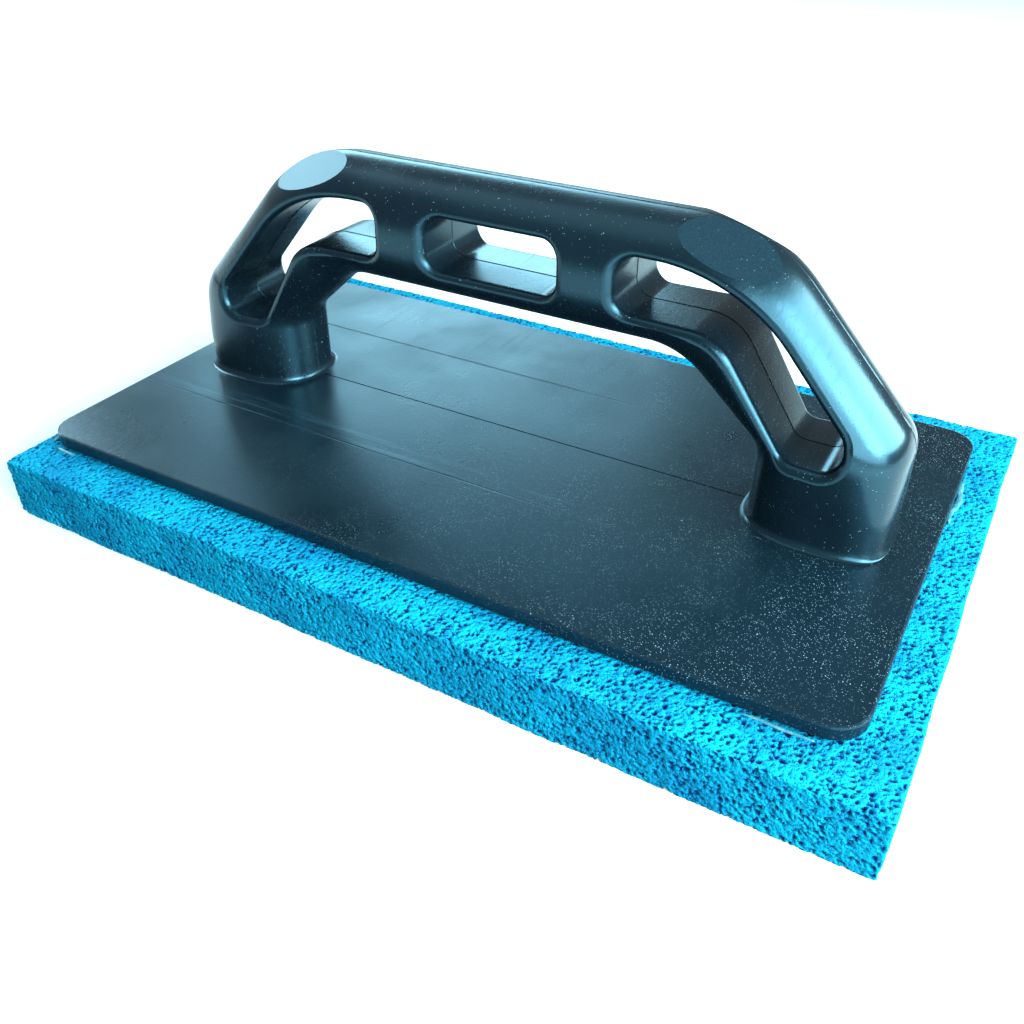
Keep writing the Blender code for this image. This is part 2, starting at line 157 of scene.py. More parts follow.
# ---- glue ----
GLUE_LEVEL = PAD_HIGH.z + 0.0002
BEAD_POINTS = 14
BEAD_STEP = 0.0009
BEAD_FEWEST_STEPS = 12
BEAD_TAPER = 0.45               # power of the taper: small keeps a bead full nearly to its ends
BEAD_TIP = 0.02
BEAD_LUMP_LEAST = 0.65          # of the stated width and height
BEAD_LUMP_SWING = 0.7
BEAD_LUMP_RATE = 260            # per metre
BEAD_DRIFT = 0.35               # in widths, from side to side
BEAD_DRIFT_RATE = 110
NEAR_LEFT = (PLATE_LOW.x, PLATE_LOW.y)
NEAR_RIGHT = (PLATE_HIGH.x, PLATE_LOW.y)
FAR_RIGHT = (PLATE_HIGH.x, PLATE_HIGH.y)
GLUE_BEADS = (                  # name, the plate's corner, start and end from it, width, height, seed
    ("glue_left_corner", NEAR_LEFT, (-0.0006, 0.020), (-0.0004, 0.002), 0.0022, 0.0016, 3.0),
    ("glue_left_front", NEAR_LEFT, (0.0045, -0.0004), (0.014, -0.0006), 0.0014, 0.0012, 5.0),
    ("glue_front_right", NEAR_RIGHT, (-0.027, -0.0006), (-0.0095, -0.0005), 0.0015, 0.0012, 7.0),
    ("glue_right_back", FAR_RIGHT, (0.0007, -0.048), (0.0006, -0.020), 0.0024, 0.0014, 9.0),
)

# ---- colours ----
PLASTIC_SHEEN = (0.32, 0.74, 1.0, 1.0)      # the black plastic shines a little blue
HANDLE_BLACK = (0.0020, 0.0050, 0.0080)
RUBBED_BLACK = (0.008, 0.022, 0.034)
PLATE_BLACK = (0.002, 0.0065, 0.0110)
SCUFFED_BLACK = (0.028, 0.062, 0.085)
DUST = (0.24, 0.36, 0.42)
SPONGE_WALL = ((0.0, 0.180, 0.34), (0.0, 0.29, 0.47))
# painted shade: deep pores and the middles of small pits are darkened towards these blues
PORE_PAINTED_SHADE = (0.0, 0.026, 0.12)
PIT_PAINTED_SHADE = (0.0, 0.10, 0.24)
GLUE_HAZE = ((0.05, 0.42, 0.54), (0.42, 0.72, 0.72))
ZINC = ((0.50, 0.49, 0.43), (0.68, 0.66, 0.58))
PAPER = ((0.84, 0.83, 0.83), (0.88, 0.87, 0.87))
WORLD = (0.84, 0.95, 1.0, 1.0)

# ---- stage ----
FLOOR_HALF = 3.0
WORLD_STRENGTH = 0.33
LIGHTS = (                      # name, azimuth, elevation, distance, size, watts, colour
    ("overhead", -110, 72, 1.8, (1.2, 1.2), 5, (0.85, 0.96, 1.0)),
    ("window_right", 90, 29, 1.2, (1.6, 0.52), 66, (0.70, 1.0, 1.0)),
    ("window_back_left", -36, 22, 1.6, (0.9, 0.40), 11, (0.40, 0.82, 1.0)),
    ("left_panel", -76, 30, 1.4, (0.50, 0.50), 13, (0.55, 0.88, 1.0)),
    ("near_window", 128, 22, 0.50, (0.40, 0.30), 4.8, (0.70, 0.96, 1.0)),
)
CAMERA_PLACE = Vector((0.13603, -0.24127, 0.18918))
CAMERA_TURN = math.radians(30.04)       # about Z, to the left of +Y
CAMERA_DIP = math.radians(35.10)
CAMERA_ROLL = math.radians(0.07)
CAMERA_LENS = 34.68
CAMERA_CLIP = 0.01


# ---- mesh helpers ----
def new_object(name, mesh, material):
    item = bpy.data.objects.new(name, mesh)
    bpy.context.scene.collection.objects.link(item)
    mesh.materials.append(material)
    return item


def mesh_from_bmesh(name, bm):
    bmesh.ops.recalc_face_normals(bm, faces=bm.faces)
    mesh = bpy.data.meshes.new(name)
    bm.to_mesh(mesh)
    bm.free()
    return mesh


def box_bmesh(size):
    bm = bmesh.new()
    bmesh.ops.create_cube(bm, size=1.0)
    bmesh.ops.scale(bm, verts=bm.verts, vec=size)
    return bm


def loft(rings):
    """A mesh through closed rings of equal length, with a flat cap on each end."""
    bm = bmesh.new()
    rows = [[bm.verts.new(point) for point in ring] for ring in rings]
    count = len(rings[0])
    for lower, upper in zip(rows, rows[1:]):
        for index in range(count):
            following = (index + 1) % count
            bm.faces.new((lower[index], lower[following], upper[following], upper[index]))
    bm.faces.new(list(reversed(rows[0])))
    bm.faces.new(rows[-1])
    return bm


def corner_arc(corner, before, after, radius, steps):
    """Points on the arc of that radius that touches both directions out of a corner."""
    half = before.angle(after) / 2
    centre = corner + (before + after).normalized() * (radius / math.sin(half))
    first = corner + before * (radius / math.tan(half)) - centre
    turn = first.angle_signed(corner + after * (radius / math.tan(half)) - centre)
    arc = []
    for step in range(steps + 1):
        angle = -turn * step / steps
        cosine, sine = math.cos(angle), math.sin(angle)
        turned = Vector((first.x * cosine - first.y * sine, first.x * sine + first.y * cosine))
        arc.append(centre + turned)
    return arc


def rounded_outline(corners, steps):
    """A closed outline through corners of (x, z, radius), each rounded by an arc."""
    points = []
    for index, (x, z, radius) in enumerate(corners):
        corner = Vector((x, z))
        before = (Vector(corners[index - 1][:2]) - corner).normalized()
        after = (Vector(corners[(index + 1) % len(corners)][:2]) - corner).normalized()
        points += corner_arc(corner, before, after, radius, steps)
    return points


def grown(outline, offset):
    """The outline moved outward by offset. It runs anticlockwise."""
    moved = []
    for index, point in enumerate(outline):
        along = (outline[(index + 1) % len(outline)] - outline[index - 1]).normalized()
        moved.append(point + Vector((along.y, -along.x)) * offset)
    return moved


def apply_modifiers(item):
    """Put the result of the item's modifiers into its mesh."""
    view = bpy.context.evaluated_depsgraph_get()
    mesh = bpy.data.meshes.new_from_object(item.evaluated_get(view))
    item.modifiers.clear()
    item.data = mesh


# ---- materials ----
MIX_COLOURS = (6, 7)            # the Mix node's sockets that hold colours
MIX_RESULT = 2


class Shader:
    """A material's node tree, with short calls for the nodes that the surfaces here share.

    Scales are per metre. Clouds gather round 0.5, so a spread from 0.3 to 0.7 uses most of them.
    """

    def __init__(self, name):
        self.material = bpy.data.materials.new(name)
        self.material.use_nodes = True
        self.tree = self.material.node_tree
        self.surface = self.tree.nodes["Principled BSDF"]
        coordinates = self.tree.nodes.new("ShaderNodeTexCoord")
        self.place = coordinates.outputs["Object"]

    def link(self, source, target):
        self.tree.links.new(source, target)

    def set(self, **values):
        for name, value in values.items():
            self.surface.inputs[name.replace("_", " ")].default_value = value

    def stretched(self, x, y, z):
        """The surface's own coordinates, scaled differently along each axis."""
        node = self.tree.nodes.new("ShaderNodeMapping")
        node.inputs["Scale"].default_value = (x, y, z)
        self.link(self.place, node.inputs["Vector"])
        return node.outputs["Vector"]

    def cloud(self, scale, detail=4.0, roughness=0.55, place=None):
        node = self.tree.nodes.new("ShaderNodeTexNoise")
        node.inputs["Scale"].default_value = scale
        node.inputs["Detail"].default_value = detail
        node.inputs["Roughness"].default_value = roughness
        self.link(place or self.place, node.inputs["Vector"])
        return node.outputs["Fac"]

    def cells(self, scale, place=None):
        """Distance to the nearest cell centre, and the cell's random colour."""
        node = self.tree.nodes.new("ShaderNodeTexVoronoi")
        node.inputs["Scale"].default_value = scale
        self.link(place or self.place, node.inputs["Vector"])
        return node.outputs["Distance"], node.outputs["Color"]

    def spread(self, value, low, high, to_low=0.0, to_high=1.0):
        """The value eased from one range into another. A low above its high turns it over."""
        node = self.tree.nodes.new("ShaderNodeMapRange")
        node.interpolation_type = 'SMOOTHSTEP'
        node.inputs["From Min"].default_value = low
        node.inputs["From Max"].default_value = high
        node.inputs["To Min"].default_value = to_low
        node.inputs["To Max"].default_value = to_high
        self.link(value, node.inputs["Value"])
        return node.outputs["Result"]

    def maths(self, operation, first, second):
        node = self.tree.nodes.new("ShaderNodeMath")
        node.operation = operation
        for socket, value in zip(node.inputs, (first, second)):
            if isinstance(value, (int, float)):
                socket.default_value = value
            else:
                self.link(value, socket)
        return node.outputs["Value"]

    def mix(self, amount, first, second):
        node = self.tree.nodes.new("ShaderNodeMix")
        node.data_type = 'RGBA'
        self.link(amount, node.inputs["Factor"])
        for index, colour in zip(MIX_COLOURS, (first, second)):
            if isinstance(colour, tuple):
                node.inputs[index].default_value = (*colour, 1.0)
            else:
                self.link(colour, node.inputs[index])
        return node.outputs[MIX_RESULT]

    def overlay(self, socket, amount, value):
        """Replace what a shader socket is fed with by another value, by that amount."""
        target = self.surface.inputs[socket]
        source = target.links[0].from_socket
        if isinstance(value, tuple):
            self.link(self.mix(amount, source, value), target)
        else:
            change = self.maths('MULTIPLY', amount, self.maths('SUBTRACT', value, source))
            self.link(self.maths('ADD', source, change), target)

    def specks(self, scale, share, size):
        """Small round dots: a share of the cells holds one, of that size in cell widths."""
        distance, colour = self.cells(scale)
        parts = self.tree.nodes.new("ShaderNodeSeparateColor")
        self.link(colour, parts.inputs["Color"])
        chosen = self.maths('LESS_THAN', parts.outputs["Red"], share)
        dot = self.spread(distance, low=size, high=size * 0.4)
        return self.maths('MULTIPLY', chosen, dot)

    def axis(self, name):
        parts = self.tree.nodes.new("ShaderNodeSeparateXYZ")
        self.link(self.place, parts.inputs["Vector"])
        return parts.outputs[name]

    def bump(self, height, distance, strength=1.0, under=None):
        node = self.tree.nodes.new("ShaderNodeBump")
        node.inputs["Distance"].default_value = distance
        node.inputs["Strength"].default_value = strength
        self.link(height, node.inputs["Height"])
        if under is not None:
            self.link(under, node.inputs["Normal"])
        return node.outputs["Normal"]

    def attribute(self, name):
        node = self.tree.nodes.new("ShaderNodeAttribute")
        node.attribute_name = name
        return node.outputs["Fac"]


def moulded_plastic(name, colour, roughness, dust_share, dusty_end=None):
    """Black moulded plastic with a faint orange-peel skin, hairline scratches and dust.

    dusty_end is a pair of X places: dust thickens from the first to the second.
    """
    shader = Shader(name)
    patches = shader.cloud(scale=24, detail=3)
    scratches = shader.cloud(scale=1.0, detail=1, place=shader.stretched(1400, 40, 300))
    cross_scratches = shader.cloud(scale=1.0, detail=1, place=shader.stretched(45, 1300, 280))
    fine = shader.maths('MULTIPLY', shader.specks(scale=2300, share=dust_share, size=0.36), 0.55)
    dust = shader.maths('MULTIPLY', shader.specks(scale=1250, share=dust_share * 0.5, size=0.26), 0.8)
    grit = shader.specks(scale=520, share=dust_share * 0.18, size=0.13)
    marks = shader.maths('MAXIMUM', fine, shader.maths('MAXIMUM', dust, grit))
    where = shader.spread(shader.cloud(scale=60, detail=4), 0.38, 0.62, to_low=0.25)
    if dusty_end is not None:
        along = shader.spread(shader.axis("X"), dusty_end[0], dusty_end[1], to_low=0.12)
        where = shader.maths('MULTIPLY', where, along)
    marks = shader.maths('MULTIPLY', marks, where)
    base = shader.mix(patches, colour, tuple(channel * 1.6 for channel in colour))
    shader.link(shader.mix(marks, base, DUST), shader.surface.inputs["Base Color"])
    worn = shader.maths('ADD', shader.spread(patches, 0.3, 0.75, roughness - 0.05, roughness + 0.08),
                        shader.spread(scratches, 0.58, 0.75, to_high=0.05))
    shader.link(shader.maths('ADD', worn, shader.maths('MULTIPLY', marks, 0.4)),
                shader.surface.inputs["Roughness"])
    skin = shader.bump(shader.cloud(scale=700, detail=2), distance=0.00008, strength=0.35)
    hairlines = shader.maths('ADD', shader.spread(scratches, 0.60, 0.80),
                             shader.spread(cross_scratches, 0.60, 0.80))
    lines = shader.bump(hairlines, distance=0.00003, strength=0.07, under=skin)
    dusty = shader.bump(marks, distance=0.00012, strength=0.8, under=lines)
    shader.link(dusty, shader.surface.inputs["Normal"])
    return shader


def handle_plastic():
    """Glossier than the plate, but frosted on the flats that mark_flats marks."""
    shader = moulded_plastic("handle_plastic", HANDLE_BLACK, roughness=0.26, dust_share=0.035)
    shader.set(Specular_IOR_Level=0.60, Specular_Tint=PLASTIC_SHEEN)
    rubbed = shader.attribute("rubbed")
    grain = shader.cloud(scale=1.0, detail=6, place=shader.stretched(2200, 5200, 2200))
    frost = shader.maths('MULTIPLY', rubbed, shader.spread(grain, 0.30, 0.75))
    shader.overlay("Base Color", frost, RUBBED_BLACK)
    shader.overlay("Roughness", rubbed, 0.42)
    return shader.material


def plate_plastic():
    """Duller than the handle and dustier towards +X, with two faint lines and a scuffed band."""
    shader = moulded_plastic("plate_plastic", PLATE_BLACK, roughness=0.31, dust_share=0.34,
                             dusty_end=(PLATE_LOW.x + 0.06, PLATE_HIGH.x - 0.03))
    shader.set(Specular_IOR_Level=0.36, Specular_Tint=PLASTIC_SHEEN)
    across, along = shader.axis("Y"), shader.axis("X")
    fading = shader.spread(along, FAINT_LINE_END, FAINT_LINE_END - FAINT_LINE_FADE)
    lines = []
    for place in FAINT_LINE_Y:
        off_line = shader.maths('ABSOLUTE', shader.maths('SUBTRACT', across, place), 0.0)
        lines.append(shader.maths('MULTIPLY', shader.spread(off_line, *FAINT_LINE_EDGES), fading))
    faint = shader.maths('MAXIMUM', *lines)
    under = shader.surface.inputs["Normal"].links[0].from_socket
    dip = shader.maths('SUBTRACT', 1.0, faint)
    grooved = shader.bump(dip, distance=0.00020, strength=0.8, under=under)
    shader.link(grooved, shader.surface.inputs["Normal"])
    beside = shader.maths('ABSOLUTE', shader.maths('SUBTRACT', across, SCUFF_Y), 0.0)
    streaks = shader.cloud(scale=1.0, detail=6, roughness=0.7, place=shader.stretched(26, 420, 100))
    streaky = shader.spread(streaks, 0.45, 0.75)
    scuffed = shader.maths('MULTIPLY', shader.spread(beside, *SCUFF_EDGES), streaky)
    scuffed = shader.maths('MULTIPLY', scuffed, shader.spread(along, *SCUFF_FADE))
    shader.overlay("Base Color", scuffed, SCUFFED_BLACK)
    return shader.material


def sponge_rubber():
    """Cyan open-cell rubber: bright walls, with painted shade that turns the pores and pits deep blue."""
    shader = Shader("sponge_rubber")
    # the pore attribute from build_sponge says how much painted shade each point gets
    pore = shader.attribute("pore")
    tint = shader.cloud(scale=46, detail=3)
    pits = shader.spread(shader.cells(scale=1500)[0], 0.18, 0.50)
    wall = shader.mix(shader.spread(tint, 0.3, 0.7), *SPONGE_WALL)
    # painted shade: the deeper the pore, the nearer its colour is to the dark blue
    hollow = shader.mix(shader.spread(pore, 0.10, 0.75), wall, PORE_PAINTED_SHADE)
    # painted shade in the middle of each small pit
    painted_dimple_shade = shader.maths('MULTIPLY', shader.spread(pits, 0.2, 0.0), 0.5)
    shader.link(shader.mix(painted_dimple_shade, hollow, PIT_PAINTED_SHADE), shader.surface.inputs["Base Color"])
    shader.set(Roughness=0.85, Specular_IOR_Level=0.10)
    grain = shader.bump(shader.cloud(scale=2600, detail=3), distance=0.00012, strength=0.6)
    pitted = shader.bump(pits, distance=0.00030, strength=0.6, under=grain)
    shader.link(pitted, shader.surface.inputs["Normal"])
    return shader.material


def dried_glue():
    """Cloudy, slightly green contact adhesive."""
    shader = Shader("contact_adhesive")
    haze = shader.cloud(scale=300, detail=5)
    shader.link(shader.mix(shader.spread(haze, 0.40, 0.72), *GLUE_HAZE),
                shader.surface.inputs["Base Color"])
    shader.set(Roughness=0.28, Transmission_Weight=0.65, IOR=1.47)
    shader.link(shader.bump(haze, distance=0.0005, strength=0.6), shader.surface.inputs["Normal"])
    return shader.material


def zinc_steel():
    shader = Shader("zinc_plated_steel")
    streaks = shader.cloud(scale=1.0, detail=5, place=shader.stretched(900, 900, 200))
    shader.link(shader.mix(streaks, *ZINC), shader.surface.inputs["Base Color"])
    shader.link(shader.spread(streaks, 0.3, 0.7, 0.22, 0.40), shader.surface.inputs["Roughness"])
    shader.set(Metallic=1.0)
    shader.link(shader.bump(streaks, distance=0.00003, strength=0.5), shader.surface.inputs["Normal"])
    return shader.material


def floor_paper():
    shader = Shader("floor_paper")
    shader.link(shader.mix(shader.cloud(scale=3, detail=2), *PAPER), shader.surface.inputs["Base Color"])
    shader.set(Roughness=0.9)
    return shader.material


# ---- handle ----
def ring_angles():
    """Evenly spaced, with extra points either side of the middle plane for the parting ridge."""
    even = [2 * math.pi * index / RING_POINTS for index in range(RING_POINTS)]
    near = [(SEAM_HALF * share / (HANDLE_DEPTH / 2)) ** (GRIP_POWER / 2) for share in SEAM_POINTS]
    extra = []
    for middle in (0, math.pi):
        for offset in near:
            extra += [(middle + offset) % (2 * math.pi), (middle - offset) % (2 * math.pi)]
    return sorted(set(round(angle, 6) for angle in even + extra))


def super_ring(inner, outer, half_depth, inner_power, outer_power):
    """A rounded section between an inner and an outer point of the handle's side view."""
    middle = (inner + outer) / 2
    reach = (outer - inner) / 2
    ring = []
    for angle in RING_ANGLES:
        cosine, sine = math.cos(angle), math.sin(angle)
        power = 2 / (outer_power if cosine > 0 else inner_power)
        along = math.copysign(abs(cosine) ** power, cosine)
        across = math.copysign(abs(sine) ** power, sine) * half_depth
        point = middle + reach * along
        point += reach.normalized() * math.copysign(seam_rise(point, across), cosine)
        ring.append(Vector((point.x, across, point.y)))
    return ring


def seam_rise(point, across):
    """Height of the parting line's ridge, which is ragged where the mould's halves met badly."""
    ragged = SEAM_MEAN + SEAM_SWING * noise.noise(Vector((point.x, 0.0, point.y)) * SEAM_NOISE)
    return max(0.0, 1 - abs(across) / SEAM_HALF) * SEAM_HEIGHT * max(SEAM_LEAST, ragged)


def side_line(corners):
    """One long side of the handle's side view: straights joined by arcs, with set point counts."""
    counts = SIDE_LINE_COUNTS
    points = []
    cursor = Vector(corners[0][:2])
    for index in range(1, len(corners) - 1):
        corner = Vector(corners[index][:2])
        before = (Vector(corners[index - 1][:2]) - corner).normalized()
        after = (Vector(corners[index + 1][:2]) - corner).normalized()
        arc = corner_arc(corner, before, after, corners[index][2], counts[2 * index - 1])
        straight = counts[2 * index - 2]
        points += [cursor.lerp(arc[0], step / straight) for step in range(straight)]
        points += arc[:-1]
        cursor = arc[-1]
    last = Vector(corners[-1][:2])
    points += [cursor.lerp(last, step / counts[-1]) for step in range(counts[-1] + 1)]
    return points


def half_handle_rings():
    """Sections from the grip's middle down to the foot, on the +X side."""
    inner_x = HANDLE_HALF - FOOT_LENGTH
    outer = side_line([(0, HANDLE_HEIGHT), (SHOULDER_X, HANDLE_HEIGHT, SHOULDER_RADIUS),
                       (HANDLE_HALF, OUTER_KNEE_Z, KNEE_RADIUS), (HANDLE_HALF, FLARE_HEIGHT)])
    inner = side_line([(0, GRIP_UNDERSIDE), (ARMPIT_X, GRIP_UNDERSIDE, ARMPIT_RADIUS),
                       (inner_x, INNER_KNEE_Z, INNER_KNEE_RADIUS), (inner_x, FLARE_HEIGHT)])
    rings = []
    for low, high in zip(inner, outer):
        foot_share = min(1.0, max(0.0, (FOOT_BLEND_TOP - high.y) / (FOOT_BLEND_TOP - FOOT_BLEND_END)))
        depth = HANDLE_DEPTH + (FOOT_DEPTH - HANDLE_DEPTH) * foot_share
        outer_power = GRIP_POWER + (FOOT_POWER - GRIP_POWER) * foot_share
        rings.append(super_ring(low, high, depth / 2, INNER_POWER, outer_power))
    for step in range(1, FLARE_STEPS + 1):
        angle = math.pi / 2 * step / FLARE_STEPS
        spread = 1 - math.cos(angle)
        reach = FLARE_REACH * spread
        height = FLARE_HEIGHT * (1 - math.sin(angle)) + FOOT_SEAT
        low = Vector((inner_x - reach, height))
        high = Vector((HANDLE_HALF + FLARE_OUTER_REACH * spread, height))
        rings.append(super_ring(low, high, FOOT_DEPTH / 2 + reach, INNER_POWER, FOOT_POWER))
    return rings


def whole_handle_rings():
    """Sections from one foot, over the grip, to the other foot."""
    right = half_handle_rings()
    left = [[Vector((-point.x, point.y, point.z)) for point in ring] for ring in reversed(right[1:])]
    return left + right


def slot_rings(outline, body):
    """Rings of a slot's cutter, whose rim rounds over into the handle's surface all the way round.

    The middle ring is a little small, which leaves the parting line standing along the slot's wall.
    """
    rings = [[Vector((point.x, 0, point.y)) for point in grown(outline, -SEAM_HEIGHT)]]
    rings.append([Vector((point.x, SEAM_HALF, point.y)) for point in outline])
    for step in range(RIM_STEPS + 1):
        angle = RIM_TURN * step / RIM_STEPS
        ring = []
        for point in grown(outline, SLOT_DRAFT + RIM_RADIUS * (1 - math.cos(angle))):
            surface = surface_depth(body, point)
            ring.append(Vector((point.x, surface - RIM_RADIUS * (1 - math.sin(angle)), point.y)))
        rings.append(ring)
    rings.append([Vector((point.x, HANDLE_DEPTH / 2 + RIM_OVERRUN, point.z)) for point in rings[-1]])
    mirrored = [[Vector((point.x, -point.y, point.z)) for point in ring] for ring in reversed(rings[1:])]
    return mirrored + rings


def surface_depth(body, point):
    """How far the handle's surface is from its middle plane at a point of its side view."""
    place = body.ray_cast(Vector((point.x, HANDLE_DEPTH, point.y)), Vector((0, -1, 0)))[0]
    return place.y


def slot_outlines():
    half, radius = MIDDLE_SLOT_HALF, SLOT_END_RADIUS
    middle = rounded_outline([(-half, SLOT_FLOOR, radius), (half, SLOT_FLOOR, radius),
                              (half, SLOT_TOP, radius), (-half, SLOT_TOP, radius)], ARC_STEPS)
    right = rounded_outline([(END_SLOT_INNER_X, SLOT_FLOOR, radius), END_SLOT_BEND,
                             END_SLOT_TIP_INNER, END_SLOT_TIP_OUTER, END_SLOT_OUTER_SIDE,
                             END_SLOT_SHOULDER, (END_SLOT_INNER_X, SLOT_TOP, radius)], ARC_STEPS)
    left = [Vector((-point.x, point.y)) for point in reversed(right)]
    return middle, right, left


def flat_cutter(side, face):
    """A block with its lower face on one of the shoulders' flats."""
    mirror = Vector((side, face, 1))
    turn = Vector((0, 0, 1)).rotation_difference(FACET_NORMAL * mirror)
    bm = box_bmesh((FACET_BLOCK,) * 3)
    bmesh.ops.translate(bm, verts=bm.verts, vec=(0, 0, FACET_BLOCK / 2))
    bm.transform(Matrix.Translation(FACET_POINT * mirror) @ turn.to_matrix().to_4x4())
    return mesh_from_bmesh("flat", bm)


def core_cutter(side):
    """The hollow under a foot, an oval round a post that stays standing.

    Both start as cylinders, and the post's faces are turned inward, so that it isn't cut away.
    """
    width, depth = FOOT_LENGTH - 2 * CORE_WALL, FOOT_DEPTH - 2 * CORE_WALL
    bm = bmesh.new()
    cylinders = []
    for diameter in (1.0, POST_DIAMETER / width):
        made = bmesh.ops.create_cone(bm, cap_ends=True, segments=CORE_SEGMENTS, depth=2 * CORE_DEPTH,
                                     radius1=diameter / 2, radius2=diameter / 2)
        cylinders.append(made["verts"])
    hollow, post = cylinders
    bmesh.ops.scale(bm, verts=hollow, vec=(width, depth, 1))
    bmesh.ops.scale(bm, verts=post, vec=(width, width, 1))
    bmesh.ops.reverse_faces(bm, faces=[face for face in bm.faces if face.verts[0] in post])
    bmesh.ops.translate(bm, verts=bm.verts, vec=(side * (HANDLE_HALF - FOOT_LENGTH / 2), 0, 0))
    mesh = bpy.data.meshes.new("core")
    bm.to_mesh(mesh)
    bm.free()
    return mesh


def handle_cutters(body):
    """Meshes to take out of the handle: three slots, four flats and the hollows under its feet."""
    meshes = [mesh_from_bmesh("slot", loft(slot_rings(outline, body))) for outline in slot_outlines()]
    for side in (-1, 1):
        meshes += [flat_cutter(side, face) for face in (-1, 1)]
        meshes.append(core_cutter(side))
    return meshes


def mark_flats(mesh):
    """Give the shoulders' flats crisp edges, and a "rubbed" attribute for their frosted surface."""
    rubbed = set()
    for side in (-1, 1):
        for face in (-1, 1):
            mirror = Vector((side, face, 1))
            outward = (FACET_NORMAL * mirror).normalized()
            height = outward.dot(HANDLE_CENTRE + FACET_POINT * mirror)
            for polygon in mesh.polygons:
                on_plane = abs(outward.dot(polygon.center) - height) < FLAT_TOLERANCE
                if on_plane and outward.dot(polygon.normal) > FLAT_FACING:
                    rubbed.add(polygon.index)
    sides = {}
    for polygon in mesh.polygons:
        for key in polygon.edge_keys:
            sides.setdefault(key, set()).add(polygon.index in rubbed)
    sharp = mesh.attributes["sharp_edge"]
    for edge in mesh.edges:
        if sides[edge.key] == {True, False}:
            sharp.data[edge.index].value = True
    layer = mesh.attributes.new("rubbed", 'FLOAT', 'FACE')
    layer.data.foreach_set("value", [float(index in rubbed) for index in range(len(mesh.polygons))])


def build_handle(material):
    blank = loft(whole_handle_rings())
    body = BVHTree.FromBMesh(blank)
    handle = new_object("handle_moulding", mesh_from_bmesh("handle_moulding", blank), material)
    tools = []
    for cutter_mesh in handle_cutters(body):
        tool = bpy.data.objects.new("cutter", cutter_mesh)
        bpy.context.scene.collection.objects.link(tool)
        modifier = handle.modifiers.new("Cut", 'BOOLEAN')
        modifier.solver = 'EXACT'
        modifier.object = tool
        tools.append(tool)
    bpy.context.view_layer.update()
    apply_modifiers(handle)
    for tool in tools:
        bpy.data.objects.remove(tool)
    handle.data.transform(Matrix.Translation(HANDLE_CENTRE))
    handle.data.shade_smooth()
    handle.data.set_sharp_from_angle(angle=SHARP_ANGLE)
    mark_flats(handle.data)
    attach(handle, "root")
    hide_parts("handle")


# ---- sponge ----
def sponge_blank():
    """A closed box in a square grid, cut finer on the faces that are seen."""
    size = PAD_HIGH - PAD_LOW
    bm = box_bmesh(size)
    bmesh.ops.translate(bm, verts=bm.verts, vec=(PAD_LOW + PAD_HIGH) / 2)
    for axis in range(3):
        steps = round(size[axis] / SPONGE_GRID)
        direction = Vector([1.0 if index == axis else 0.0 for index in range(3)])
        for step in range(1, steps):
            place = PAD_LOW + direction * (size[axis] * step / steps)
            everything = bm.verts[:] + bm.edges[:] + bm.faces[:]
            bmesh.ops.bisect_plane(bm, geom=everything, plane_co=place, plane_no=direction)
    bm.normal_update()
    seen, bottom = [], []
    for face in bm.faces:
        middle = face.calc_center_median()
        covered = (PLATE_LOW.x + SPONGE_COVERED < middle.x < PLATE_HIGH.x - SPONGE_COVERED
                   and PLATE_LOW.y + SPONGE_COVERED < middle.y < PLATE_HIGH.y - SPONGE_COVERED)
        if face.normal.z < -0.5:
            bottom.append(face)
        elif face.normal.z < 0.5 or not covered:
            seen.append(face)
    for faces, cuts in ((seen, SPONGE_SIDE_CUTS), (bottom, SPONGE_BOTTOM_CUTS)):
        edges = list(dict.fromkeys(edge for face in faces for edge in face.edges))    # once each, in order
        bmesh.ops.subdivide_edges(bm, edges=edges, cuts=cuts, use_grid_fill=True)
    bmesh.ops.triangulate(bm, faces=[face for face in bm.faces if len(face.verts) > 4])
    return bm


def pore_depth(place, spacing, seed):
    """How deep a foam pore is at a place, from 0 on a wall to 1 at its middle."""
    wobble = noise.noise_vector(place / spacing * PORE_WOBBLE_RATE + Vector((seed, 0, 0))) * PORE_WOBBLE
    distances, centres = noise.voronoi(place / spacing + wobble)
    wall = WALL_LEAST + WALL_SWING * abs(noise.noise(centres[0] * WALL_RATE + Vector((0, seed, 0))))
    share = (distances[1] - distances[0] - wall) / PORE_SLOPE
    share = max(0.0, min(1.0, share))
    return share * share * (3 - 2 * share)


def build_sponge(material):
    """The pad: worn edges, a wandering cut, ragged cell walls and pores, in real geometry."""
    bm = sponge_blank()
    edge = Vector((SPONGE_EDGE,) * 3)
    core_low, core_high = PAD_LOW + edge, PAD_HIGH - edge
    painted_pore_shades = []
    for vert in bm.verts:
        limits = zip(core_low, vert.co, core_high)
        core = Vector([min(high, max(low, value)) for low, value, high in limits])
        outward = (vert.co - core).normalized()
        vert.co = core + outward * SPONGE_EDGE
        large = pore_depth(vert.co, PORE_SPACING, PORE_SEED)
        small = pore_depth(vert.co, PIT_SPACING, PIT_SEED)
        # painted shade for the pores and pits, kept as the pore attribute
        painted_pore_shades.append(max(large, PIT_SHADE * small))
        fray = noise.noise(vert.co / FRAY_SPACING) * FRAY_HEIGHT
        wander = noise.noise(vert.co / CUT_WAVELENGTH) * CUT_WANDER
        sideways = Vector((outward.x, outward.y, 0))
        vert.co += outward * (fray - PORE_DEPTH * large - PIT_DEPTH * small) + sideways * wander
        vert.co.z = min(PAD_HIGH.z, max(PAD_LOW.z, vert.co.z))
    mesh = mesh_from_bmesh("sponge_block", bm)
    layer = mesh.attributes.new("pore", 'FLOAT', 'POINT')
    layer.data.foreach_set("value", np.array(painted_pore_shades, np.float32))
    mesh.shade_smooth()
    sponge = new_object("sponge_block", mesh, material)
    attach(sponge, "root")
    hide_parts("sponge_pad")


